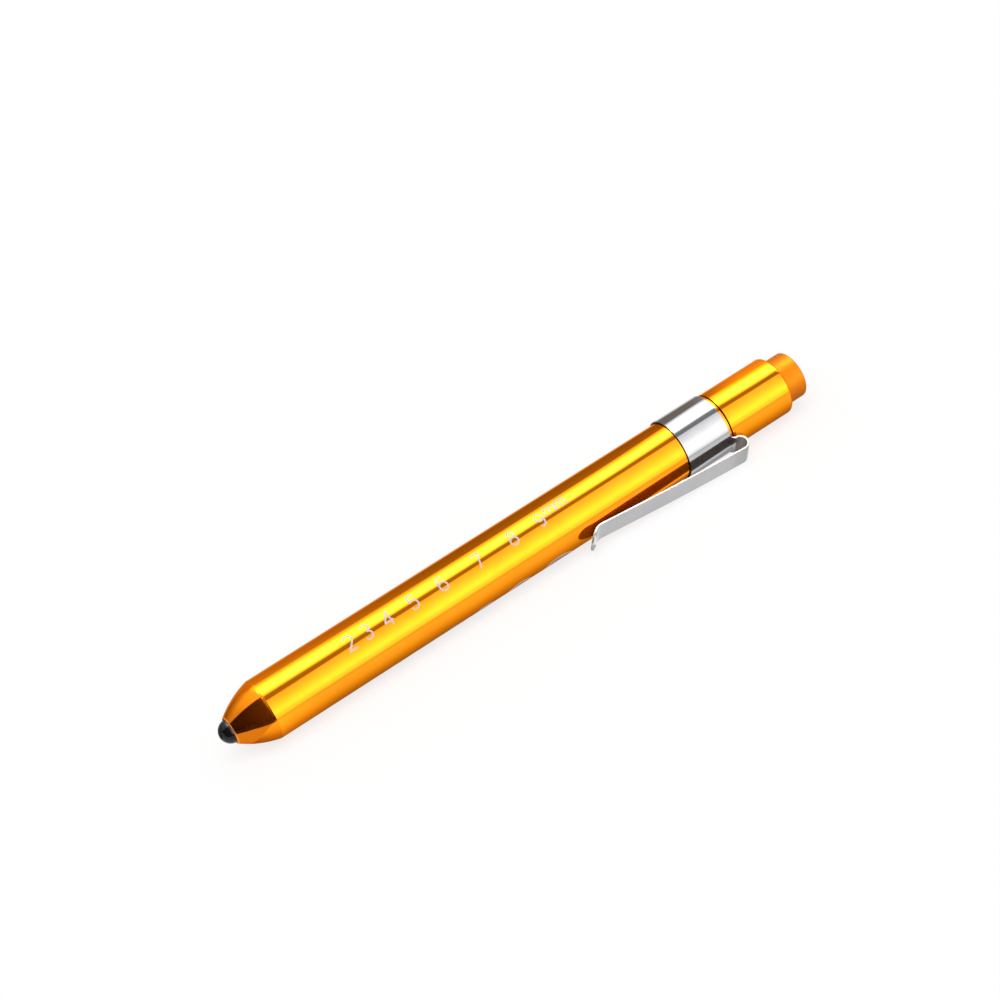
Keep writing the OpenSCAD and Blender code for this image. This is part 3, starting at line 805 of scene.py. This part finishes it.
thread_sizes = {"Pitch": THREAD_PITCH * MM, "Turns": THREAD_TURNS, "Start": THREAD_FROM * MM,
                "Radius": (SPIGOT_ROOT_R + THREAD_LIFT) * MM, "Depth": THREAD_DEPTH * MM}
spigot_thread = grown("spigot_thread", tree, thread_sizes, gold_anodised)
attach(spigot_thread, "body")
crest = max(hypot(v.co.y, v.co.z) for v in spigot_thread.data.vertices)
print("spigot thread: crest radius", round(crest / MM, 3), "mm,", len(spigot_thread.data.polygons), "faces")

# %% [markdown]
# ## The gauge's figures
# A gauge for judging pupils is burnt into the dye along the barrel: the figures 2 to 9, in millimetres,
# over a row of dots of those sizes. Burning takes the dye out and leaves dull, pale metal. The figures
# are single strokes, so each is a few lines and arcs drawn flat; a tree gives the strokes their width and
# wraps them round the barrel.

# %% Burnt finish
BURNT_GREY = (0.47, 0.36, 0.33, 1)
BURNT_PALE = (0.62, 0.5, 0.47, 1)

burnt_mark, tree, place, surface = new_finish("burnt_mark")
grain = noise(tree, place, 6000.0)
set_sockets(tree, surface, {
    "Base Color": mixed_colour(tree, grain, BURNT_GREY, BURNT_PALE),
    "Roughness": spread(tree, grain, 0.3, 0.7, 0.5, 0.65),
    "Normal": bumped(tree, grain, 0.2, 0.005),
})
print("burnt finish uses", len(tree.nodes), "nodes")


# %% Strokes of the figures
def bow(x, y, across, tall, start, end, steps=20):
    """Points on part of an oval, from one angle to another in degrees."""
    turns = [radians(start + (end - start) * i / steps) for i in range(steps + 1)]
    return [(x + across * cos(a), y + tall * sin(a)) for a in turns]


# Drawn on a field 1 high, with x = 0 in the middle
FIGURES = {
    "2": [bow(0, 0.72, 0.27, 0.28, 165, -35) + [(-0.27, 0.02)], [(-0.33, 0), (0.3, 0)]],
    "3": [bow(0, 0.75, 0.24, 0.25, 150, -90), bow(0, 0.26, 0.27, 0.26, 90, -150)],
    "4": [[(0.14, 0), (0.14, 1.04)], [(0.13, 1), (-0.3, 0.31)], [(-0.36, 0.3), (0.3, 0.3)]],
    "5": [[(0.24, 1), (-0.26, 1)], [(-0.2, 1), (-0.24, 0.5)], bow(0, 0.32, 0.28, 0.32, 145, -150)],
    "6": [bow(0.02, 0.7, 0.26, 0.3, 50, 180) + bow(0.02, 0.3, 0.28, 0.3, 180, 540)],
    "7": [[(-0.28, 1), (0.34, 1)], [(0.28, 1), (-0.06, 0)]],
    "8": [bow(0, 0.76, 0.22, 0.24, 90, 450), bow(0, 0.26, 0.28, 0.26, 90, 450)],
    "9": [bow(0, 0.7, 0.28, 0.3, 0, -360) + bow(0.02, 0.3, 0.26, 0.3, 0, -130)],
    "m": [[(-0.4, 0), (-0.4, 0.6)], bow(-0.2, 0.4, 0.2, 0.22, 180, 0) + [(0, 0)],
          bow(0.2, 0.4, 0.2, 0.22, 180, 0) + [(0.4, 0)]],
}
print("figures drawn:", " ".join(FIGURES))

# %% Marks of the gauge
# Each mark on the gauge is (figure, along, height, foot above the gauge's line) in mm
GAUGE_MARKS = [("2", -113.2, 3.1, -1.5), ("3", -109.15, 3.1, -1.45), ("4", -104.2, 3.1, -1.45),
               ("5", -98.15, 3.1, -1.35), ("6", -91.2, 3.1, -1.35), ("7", -82.45, 3.1, -1.4),
               ("8", -73.8, 3.1, -1.2), ("9", -66.9, 2.8, -1.0),
               ("m", -64.0, 2.8, 0.35), ("m", -61.25, 2.8, 0.35)]

strokes = [(stroke, x, tall, foot) for figure, x, tall, foot in GAUGE_MARKS for stroke in FIGURES[figure]]
stroke_points = []
stroke_edges = []
for stroke, x, tall, foot in strokes:
    first = len(stroke_points)
    stroke_points += [((x + px * tall) * MM, (foot + py * tall) * MM, 0) for px, py in stroke]
    stroke_edges += [(i, i + 1) for i in range(first, len(stroke_points) - 1)]
print("figures:", len(strokes), "strokes,", len(stroke_points), "points")

# %% Tree that wraps flat work round the barrel
wrap_round, given = new_tree("wrap_round_barrel", ["Radius", "Middle Angle"])
drawn_at = add_step(wrap_round, "GeometryNodeInputPosition")
flat = add_node(wrap_round, "ShaderNodeSeparateXYZ", {0: drawn_at}).outputs
turn = sum_of(wrap_round, "DIVIDE", flat["Y"], given["Radius"])
angle = sum_of(wrap_round, "SUBTRACT", given["Middle Angle"], turn)
radius = sum_of(wrap_round, "ADD", given["Radius"], flat["Z"])
wrapped_y = times(wrap_round, radius, sum_of(wrap_round, "COSINE", angle))
wrapped_z = times(wrap_round, radius, sum_of(wrap_round, "SINE", angle))
round_place = {"X": flat["X"], "Y": wrapped_y, "Z": wrapped_z}
wrapped = add_step(wrap_round, "ShaderNodeCombineXYZ", round_place)
moved = add_node(wrap_round, "GeometryNodeSetPosition", {"Geometry": given["Geometry"], "Position": wrapped})
add_node(wrap_round, "NodeGroupOutput", {0: moved.outputs[0]})
print("wrapping tree has", len(wrap_round.nodes), "nodes")


# %% Figures on the barrel
def wrap(tree, geometry, radius, angle):
    """Places the wrapping tree in another tree."""
    inputs = {"Geometry": geometry, "Radius": radius, "Middle Angle": angle}
    return add_step(tree, "GeometryNodeGroup", inputs, node_tree=wrap_round)


MARK_THICK = 0.03
FIGURE_ANGLE = 126.4

tree, given = new_tree("gauge_figures", ["Line Width", "Thickness", "Spacing", "Radius", "Middle Angle"])
lines = add_step(tree, "GeometryNodeMeshToCurve", {0: given["Geometry"]})
even = add_step(tree, "GeometryNodeResampleCurve", {"Curve": lines, "Length": given["Spacing"]},
                mode="LENGTH")
upright = add_step(tree, "GeometryNodeSetCurveNormal", {"Curve": even}, mode="Z_UP")
tape = add_step(tree, "GeometryNodeCurvePrimitiveQuadrilateral",
                {"Width": given["Line Width"], "Height": given["Thickness"]}, mode="RECTANGLE")
taped = swept(tree, upright, tape)
end_tree(tree, wrap(tree, taped, given["Radius"], given["Middle Angle"]), burnt_mark)

figure_sizes = {"Line Width": 0.37 * MM, "Thickness": MARK_THICK * MM, "Spacing": 0.12 * MM,
                "Radius": BARREL_R * MM, "Middle Angle": radians(FIGURE_ANGLE)}
gauge_figures = grown("gauge_figures", tree, figure_sizes, burnt_mark, stroke_points, stroke_edges)
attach(gauge_figures, "body")
reach = [hypot(v.co.y, v.co.z) / MM for v in gauge_figures.data.vertices]
print("gauge figures: radius", round(min(reach), 3), "to", round(max(reach), 3), "mm")

# %% [markdown]
# ## The gauge's dots
# Below the figures, towards the table, is a row of solid dots from 2 to 9 mm across, each one millimetre
# larger than the last with the same space between them. That is a rule, so a tree makes the whole row
# from a few sizes. The burn is deeper inside a dot than along its outline, so the tree also stores how
# far each point is from its dot's middle, and the dots' finish is pale at the outline and browner inside.
# The inside is also painted darker than the figures, as painted shade, since the dots face down towards
# the table.

# %% Dot finish
# painted shade: the dots' inside is darker than the figures, since the dots face down towards the table
SHADED_DOT_BROWN = (0.3, 0.19, 0.14, 1)
SHADED_DOT_PALE_BROWN = (0.38, 0.25, 0.19, 1)
DOT_OUTLINE = (0.55, 0.47, 0.43, 1)

# the dots' finish: burnt metal, with painted shade inside each dot
burnt_dot_with_shade, tree, place, surface = new_finish("burnt_dot_with_shade")
grain = noise(tree, place, 4000.0)
from_middle = add_node(tree, "ShaderNodeAttribute", attribute_name="from_middle").outputs["Fac"]
outline_share = spread(tree, from_middle, 0.92, 0.95, 0.0, 1.0)
# inside each dot: a deeper burn, and painted shade
shaded_inside = mixed_colour(tree, grain, SHADED_DOT_BROWN, SHADED_DOT_PALE_BROWN)
set_sockets(tree, surface, {
    "Base Color": mixed_colour(tree, outline_share, shaded_inside, DOT_OUTLINE),
    "Roughness": spread(tree, grain, 0.3, 0.7, 0.5, 0.65),
})
print("dot finish uses", len(tree.nodes), "nodes")

# %% Tree of the dots
dot_inputs = ["First Size", "Step", "Space", "First Place", "Thickness", "Radius", "Middle Angle"]
tree, given = new_tree("gauge_dots", dot_inputs)
row = add_step(tree, "GeometryNodeMeshLine", {"Count": 8})
number = add_step(tree, "GeometryNodeInputIndex")
pitch = sum_of(tree, "ADD", given["First Size"], given["Space"])
squared = times(tree, number, number)
grow = times(tree, squared, times(tree, given["Step"], 0.5))
from_first = sum_of(tree, "ADD", times(tree, number, pitch), grow)
dot_x = sum_of(tree, "ADD", from_first, given["First Place"])
dot_place = add_step(tree, "ShaderNodeCombineXYZ", {"X": dot_x})
spaced = add_step(tree, "GeometryNodeSetPosition", {"Geometry": row, "Position": dot_place})
size = sum_of(tree, "ADD", given["First Size"], times(tree, number, given["Step"]))
half_size = times(tree, size, 0.5)
stretch = add_step(tree, "ShaderNodeCombineXYZ", {"X": half_size, "Y": half_size, "Z": 1.0})
disc = add_node(tree, "GeometryNodeMeshCylinder",
                {"Vertices": 72, "Side Segments": 1, "Fill Segments": 14, "Radius": 1.0,
                 "Depth": given["Thickness"]})
spot = add_step(tree, "GeometryNodeInputPosition")
level_spot = add_step(tree, "ShaderNodeVectorMath", {0: spot, 1: (1, 1, 0)}, operation="MULTIPLY")
distance = add_node(tree, "ShaderNodeVectorMath", {0: level_spot}, operation="LENGTH").outputs["Value"]
measured = add_step(tree, "GeometryNodeStoreNamedAttribute",
                    {"Geometry": disc.outputs["Mesh"], "Name": "from_middle", "Value": distance})
dots = add_step(tree, "GeometryNodeInstanceOnPoints",
                {"Points": spaced, "Instance": measured, "Scale": stretch})
solid_dots = add_step(tree, "GeometryNodeRealizeInstances", {0: dots})
end_tree(tree, wrap(tree, solid_dots, given["Radius"], given["Middle Angle"]), burnt_dot_with_shade)
print("dot tree has", len(tree.nodes), "nodes")

# %% Dots on the barrel
DOT_ANGLE = 248.0

dot_sizes = {"First Size": 2 * MM, "Step": 1 * MM, "Space": 1.1 * MM, "First Place": -112.55 * MM,
             "Thickness": MARK_THICK * MM, "Radius": BARREL_R * MM, "Middle Angle": radians(DOT_ANGLE)}
gauge_dots = grown("gauge_dots", tree, dot_sizes, burnt_dot_with_shade)
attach(gauge_dots, "body")
print("gauge dots:", len(gauge_dots.data.polygons), "faces")

# %% [markdown]
# ## The parts inside
# Everything inside the tube but the switch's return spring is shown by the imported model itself: cells,
# contacts, lamp leads and switch. These are seen only when the pen is taken apart, but each still gets
# the finish of its material, with darker stains in its colour and a fine grain in its gloss and its
# surface. The materials differ only in a few numbers, so one function makes all of them.


# %% Inside finishes
def inside_finish(slot, colour, shade, metallic, roughness, scale):
    """A finish whose colour and gloss change slightly over the surface."""
    finish, tree, place, surface = new_finish(slot)
    stain = effect(tree, handling_marks, Place=place, Scale=scale / 8)
    grain = noise(tree, place, scale)
    darker = tuple(channel * shade for channel in colour) + (1,)
    set_sockets(tree, surface, {
        "Base Color": mixed_colour(tree, stain, colour + (1,), darker),
        "Roughness": spread(tree, grain, 0.3, 0.7, roughness * 0.8, roughness * 1.2),
        "Normal": bumped(tree, grain, 0.15, 0.01),
        "Metallic": metallic,
    })
    return finish


# Each look is (colour, how dark its stains are, metal or not, roughness, fineness of its grain)
INSIDE_LOOKS = {
    "lamp_chip": ((0.7, 0.6, 0.05), 0.8, 0.0, 0.4, 9000.0),
    "lead_wire": ((0.48, 0.48, 0.45), 0.8, 1.0, 0.3, 4000.0),
    "contact_brass": ((0.66, 0.39, 0.085), 0.7, 1.0, 0.28, 1500.0),
    "spring_steel": ((0.4, 0.4, 0.4), 0.8, 1.0, 0.25, 2500.0),
    "white_plastic": ((0.75, 0.73, 0.64), 0.92, 0.0, 0.5, 3000.0),
    "black_plastic": ((0.02, 0.02, 0.02), 0.7, 0.0, 0.5, 3000.0),
    "cell_steel": ((0.52, 0.52, 0.5), 0.85, 1.0, 0.25, 1200.0),
    "cell_mix": ((0.022, 0.022, 0.025), 0.6, 0.0, 0.9, 5000.0),
    "cell_seal": ((0.07, 0.13, 0.32), 0.85, 0.0, 0.5, 3000.0),
    "cell_jacket": ((0.05, 0.068, 0.095), 0.8, 0.0, 0.22, 400.0),
}
finishes = {"gold_anodised": gold_anodised, "button_satin": button_satin, "clip_steel": clip_steel,
            "lamp_body": lamp_body}
finishes.update((slot, inside_finish(slot, *look)) for slot, look in INSIDE_LOOKS.items())
print("inside finishes:", list(INSIDE_LOOKS))

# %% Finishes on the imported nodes
for subpart in frame["record"]["subparts"]:
    node = frame["nodes"][subpart["node"]]
    for slot in node.material_slots:
        slot.material = finishes[subpart["material_slot"]]
print("finishes given to", len(frame["nodes"]), "packed nodes")

# %% [markdown]
# ## The switch's return spring
# Pressing the button squeezes a small coil spring, which pushes it back afterwards.

# %% Tree of the return spring
tree, given = new_tree("return_coil", ["Turns", "Radius", "Length", "Wire", "Start"])
half_wire = times(tree, given["Wire"], 0.5)
coil_rise = sum_of(tree, "SUBTRACT", given["Length"], given["Wire"])
wound = coil(tree, given, coil_rise, 32)
wire_section = add_step(tree, "GeometryNodeCurvePrimitiveCircle", {"Resolution": 12, "Radius": half_wire})
wire = swept(tree, wound, wire_section)
wire_middle = sum_of(tree, "ADD", given["Start"], half_wire)
end_tree(tree, laid_down(tree, wire, wire_middle), finishes["spring_steel"])
print("spring tree has", len(tree.nodes), "nodes")

# %% Return spring
SPRING_WIRE = 0.4
SPRING_TURNS = 5

packed_spring = [vertex.co for vertex in frame["nodes"]["return_spring"].data.vertices]
spring_front = min(point.x for point in packed_spring)
spring_length = max(point.x for point in packed_spring) - spring_front
spring_outer_r = max(hypot(point.y, point.z) for point in packed_spring)

coil_sizes = {"Turns": SPRING_TURNS, "Radius": spring_outer_r - SPRING_WIRE * MM / 2, "Length": spring_length,
              "Wire": SPRING_WIRE * MM, "Start": spring_front}
return_coil = grown("return_coil", tree, coil_sizes, finishes["spring_steel"])
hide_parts("return_spring")
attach(return_coil, "cap")
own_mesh(return_coil)

# %% [markdown]
# ## Table and daylight
# The table and the backdrop are white. A mirror-bright pen shows what is round it, so the white also has
# to be there for reflections: Light Path tells camera and glossy rays apart from the rays that only carry
# soft light. The table is part paint and part glow, and keeps a soft shadow of the pen.


# %% Table
def seen_directly(tree):
    """1 for rays from the camera, or by way of gloss or glass; 0 for soft light."""
    path = add_node(tree, "ShaderNodeLightPath").outputs
    either = sum_of(tree, "MAXIMUM", path["Is Camera Ray"], path["Is Glossy Ray"])
    return sum_of(tree, "MAXIMUM", either, path["Is Transmission Ray"])


FLOOR_Z = packed_box[0][2]
WHITE = (1, 1, 1, 1)
TABLE_PAINT = (0.95, 0.95, 0.95, 1)
GLOW_SHARE = 0.78
TABLE_HALF = 4.0
table_white = bpy.data.materials.new("table_white")
tree = bare_tree(table_white)
paint = add_step(tree, "ShaderNodeBsdfDiffuse", {"Color": TABLE_PAINT})
glow = add_step(tree, "ShaderNodeEmission", {"Color": WHITE, "Strength": 1.0})
glow_share = times(tree, seen_directly(tree), GLOW_SHARE)
both = add_step(tree, "ShaderNodeMixShader", {0: glow_share, 1: paint, 2: glow})
add_node(tree, "ShaderNodeOutputMaterial", {"Surface": both})

table = bpy.data.meshes.new("table")
corners = ((-1, -1), (1, -1), (1, 1), (-1, 1))
table.from_pydata([(x * TABLE_HALF, y * TABLE_HALF, FLOOR_Z) for x, y in corners], [], [(0, 1, 2, 3)])
table.materials.append(table_white)
table_top = add_object("table_top", table)
print("table at", round(FLOOR_Z / MM, 2), "mm")

# %% Sky and daylight
sky = bpy.data.worlds.new("white_room")
tree = bare_tree(sky)
level = spread(tree, seen_directly(tree), 0.0, 1.0, 0.5, 1.0)
room = add_step(tree, "ShaderNodeBackground", {"Color": WHITE, "Strength": level})
add_node(tree, "ShaderNodeOutputWorld", {"Surface": room})
scene.world = sky

daylight = add_object("daylight", bpy.data.lights.new("daylight", "SUN"))
daylight.data.energy = 1.95
daylight.data.angle = radians(60)
daylight.rotation_euler = (radians(22), radians(-14), 0)
daylight.visible_glossy = False
print("daylight of strength", daylight.data.energy)

# %% [markdown]
# ## Studio cards
# The long bright and dark streaks on the tube are pictures of soft boxes and of the dark gaps between
# them. Here these are cards that only reflections see, arched over the pen, hung before the nose or flat
# on the table, so they shape the gloss and leave the plain light alone. A card's glow is a ramp of a few
# stops across it and another along it.


# %% Ramp of light
def ramp(tree, position, stops):
    """A value that follows stops of (place, level), kept in the ramp as shares of the highest."""
    low = stops[0][0]
    high = stops[-1][0]
    peak = max(level for place, level in stops)
    node = add_node(tree, "ShaderNodeValToRGB", {0: position})
    while len(node.color_ramp.elements) < len(stops):
        node.color_ramp.elements.new(1.0)
    for element, (place, level) in zip(node.color_ramp.elements, stops):
        element.position = (place - low) / (high - low)
        element.color = (level / peak, level / peak, level / peak, 1)
    return times(tree, node.outputs["Color"], peak)


# %% Studio card
def studio_card(name, rows, across_stops, along_stops, tint=WHITE):
    """A card that only reflections see; its rows, from edge to edge, are lists of points in mm."""
    mesh = bpy.data.meshes.new(name)
    count = len(rows[0])
    points = [Vector(point) * MM for row in rows for point in row]
    faces = [(r * count + i, r * count + i + 1, (r + 1) * count + i + 1, (r + 1) * count + i)
             for r in range(len(rows) - 1) for i in range(count - 1)]
    mesh.from_pydata(points, [], faces)
    chart = mesh.uv_layers.new(name="across_along")
    for loop in mesh.loops:
        row, i = divmod(loop.vertex_index, count)
        chart.data[loop.index].uv = (i / (count - 1), row / (len(rows) - 1))
    glow = bpy.data.materials.new(name + "_glow")
    tree = bare_tree(glow)
    chart_place = add_step(tree, "ShaderNodeUVMap", uv_map="across_along")
    uv = add_node(tree, "ShaderNodeSeparateXYZ", {0: chart_place}).outputs
    across = ramp(tree, uv["X"], across_stops)
    along = ramp(tree, uv["Y"], along_stops)
    strength = times(tree, across, along)
    light = add_step(tree, "ShaderNodeEmission", {"Color": tint, "Strength": strength})
    add_node(tree, "ShaderNodeOutputMaterial", {"Surface": light})
    mesh.materials.append(glow)
    card = add_object(name, mesh)
    card.visible_camera = False
    card.visible_diffuse = False
    card.visible_shadow = False
    card.visible_transmission = False
    print("card:", name)


# %% Rows of points
def arch(x, first, last, distance=400, count=33):
    """Points on an arch over the pen, at angles from behind it, over the top, to the front."""
    turns = [radians(first + (last - first) * i / (count - 1)) for i in range(count)]
    return [(x, distance * cos(a), distance * sin(a)) for a in turns]


def on_table(*places, lift=0.02):
    """Points a hair above the table."""
    return [(x, y, FLOOR_Z / MM + lift) for x, y in places]


# %% Cards round the barrel
# Each row is (along, back edge of the top box, its front edge, back edge of the front box)
BOX_ROWS = [(-215, 43, 104, 124), (-140, 43, 104, 124), (-60, 45, 104, 124), (30, 55, 105, 120),
            (110, 55, 105, 119), (150, 43, 99, 117), (172, 43, 103, 119), (700, 43, 103, 119)]
WARM_GREY = (1, 0.85, 0.7, 1)
plain = [(0, 1), (1, 1)]
back_along = [(0, 2.0), (1, 2.6), (2, 1.9), (3, 1), (4, 1), (5, 0.9), (6, 2.8), (7, 2.8)]
edge_light = [(0, 1), (1, 1.8), (1.9, 1), (7, 1)]
gap_light = [(0, 1), (1, 5), (1.9, 1), (7, 1)]
studio_card("back_wall", [arch(x, -40, top) for x, top, gap, front in BOX_ROWS],
            [(0, 0.4), (0.35, 0.38), (0.7, 0.35), (1, 0.42)], back_along, WARM_GREY)
studio_card("top_box", [arch(x, top, gap) for x, top, gap, front in BOX_ROWS],
            [(0, 0.9), (0.25, 2.8), (0.45, 4.5), (0.6, 9), (0.7, 9), (0.85, 4), (1, 2)], edge_light)
studio_card("dark_gap", [arch(x, gap, front) for x, top, gap, front in BOX_ROWS],
            [(0, 0.9), (0.2, 0.45), (0.8, 0.38), (1, 0.7)], gap_light)
studio_card("front_box", [arch(x, front, 190) for x, top, gap, front in BOX_ROWS],
            [(0, 1.5), (0.1, 1.7), (0.35, 2.2), (0.7, 3.3), (0.85, 3.1), (1, 2.4)], edge_light)

# %% Cards in front of the nose
WARM_DARK = (1, 0.62, 0.4, 1)
nose_rows = [arch(x, -40, 110) for x in (-1300, -700, -450, -320, -215)]
studio_card("nose_wall", nose_rows, [(-40, 0.3), (0, 0.22), (15, 0.22), (35, 0.45), (60, 0.9), (110, 1.0)],
            [(0, 0.6), (1, 0.75), (2, 1.15), (3, 1.7), (4, 2.2)])
flag_rows = [[(-1300, 368, 385), (-1300, -380, -6)], [(-665, 80, 385), (-665, -380, -6)],
             [(-232, -70, 388), (-200, -380, -6)]]
studio_card("nose_flag", flag_rows, plain, [(0, 0.03), (1, 0.04), (1.6, 0.07), (2, 0.16)], WARM_DARK)
front_flag = [on_table((-138, -22.5), (-152, -22.5), (-162, -16.5), (-900, -13)),
              on_table((-85, -400), (-300, -400), (-500, -400), (-900, -400))]
studio_card("nose_front_flag", front_flag, [(0, 0.12), (1, 0.04)], plain, WARM_DARK)
rear_flag = [on_table((-146.6, 5), (-220, 5)), on_table((-146.6, 80), (-220, 80))]
studio_card("nose_rear_flag", rear_flag, [(0, 0.2), (1, 0.2)], plain)

# %% Cards on the table
apron_stops = [(15, 0.4), (-3, 0.4), (-6, 0.62), (-8, 0.85), (-11, 1.1), (-15, 1.3), (-24, 1.4), (-27, 0.95),
               (-30, 1.2), (-40, 2.0), (-60, 2.5)]
apron_rows = [on_table(*((x, y) for y in range(15, -61, -5))) for x in (-139, -133, -118, 400)]
studio_card("table_apron", apron_rows, apron_stops, [(0, 1.35), (1, 1.3), (2, 1), (3, 1)])
far_rows = [on_table((x, -60), (x, -400)) for x in (-137, 400)]
studio_card("table_far_apron", far_rows, [(0, 2.5), (1, 2.7)], plain)
arm_rows = [on_table((-57, -3.5), (-57, -10), lift=0.04), on_table((-16, -6.6), (-16, -13), lift=0.04)]
studio_card("arm_glow", arm_rows, [(0, 1.1), (1, 1.2)], [(0, 1), (0.8, 1), (1, 0.6)])
